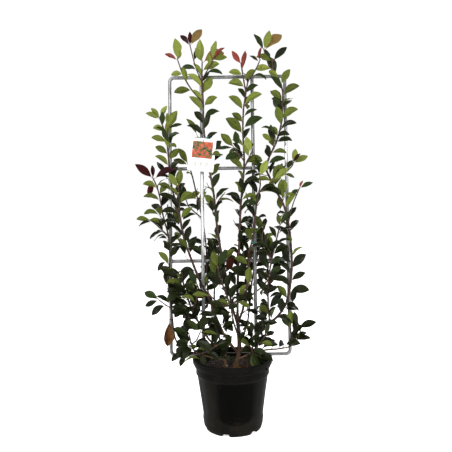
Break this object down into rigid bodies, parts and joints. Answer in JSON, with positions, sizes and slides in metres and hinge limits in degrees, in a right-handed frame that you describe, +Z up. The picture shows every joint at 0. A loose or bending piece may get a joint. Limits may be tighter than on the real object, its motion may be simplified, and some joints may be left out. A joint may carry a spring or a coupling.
{
  "type": "potted photinia red robin on a tube rack",
  "caption": "Young evergreen shrub in a black round nursery pot, its long leafy stems fanned out and tied to an upright rack of galvanised tube, with red young leaves and a hanging card tag.",
  "frame": {"origin": "middle of the pot's flat underside, on the ground it stands on", "axes": "+Z up along the pot's axis; +X to the viewer's right along the rack's bars; the viewer of the front stands on the -Y side"},
  "size_m": [0.6295, 0.304, 1.4],
  "materials": {
    "pot_plastic": "matte",
    "potting_soil": "rough",
    "galvanised_tube": "satin",
    "tag_card": "satin",
    "tie_plastic": "satin",
    "bark": "rough",
    "foliage": "satin"
  },
  "bodies": {
    "root": {"back_left_bough": "bark", "back_left_foliage": "foliage", "back_right_bough": "bark", "back_right_foliage": "foliage", "centre_bough": "bark", "centre_foliage": "foliage", "far_left_bough": "bark", "far_left_foliage": "foliage", "front_bough": "bark", "front_foliage": "foliage", "inner_left_foliage": "foliage", "inner_right_foliage": "foliage", "left_bough": "bark", "left_centre_bough": "bark", "left_centre_foliage": "foliage", "left_foliage": "foliage", "left_trunk": "bark", "low_front_foliage": "foliage", "low_left_foliage": "foliage", "low_right_bough": "bark", "low_right_foliage": "foliage", "lower_left_bough": "bark", "lower_left_foliage": "foliage", "lower_tie": "tie_plastic", "main_trunk": "bark", "pot": "pot_plastic", "rack_bottom_bar": "galvanised_tube", "rack_left_leg": "galvanised_tube", "rack_left_side": "galvanised_tube", "rack_lower_bar": "galvanised_tube", "rack_right_leg": "galvanised_tube", "rack_right_side": "galvanised_tube", "rack_top_bar": "galvanised_tube", "rack_upper_bar": "galvanised_tube", "right_bough": "bark", "right_centre_bough": "bark", "right_centre_foliage": "foliage", "right_foliage": "foliage", "soil": "potting_soil", "tag": "tag_card", "upper_tie": "tie_plastic"}
  },
  "joints": []
}
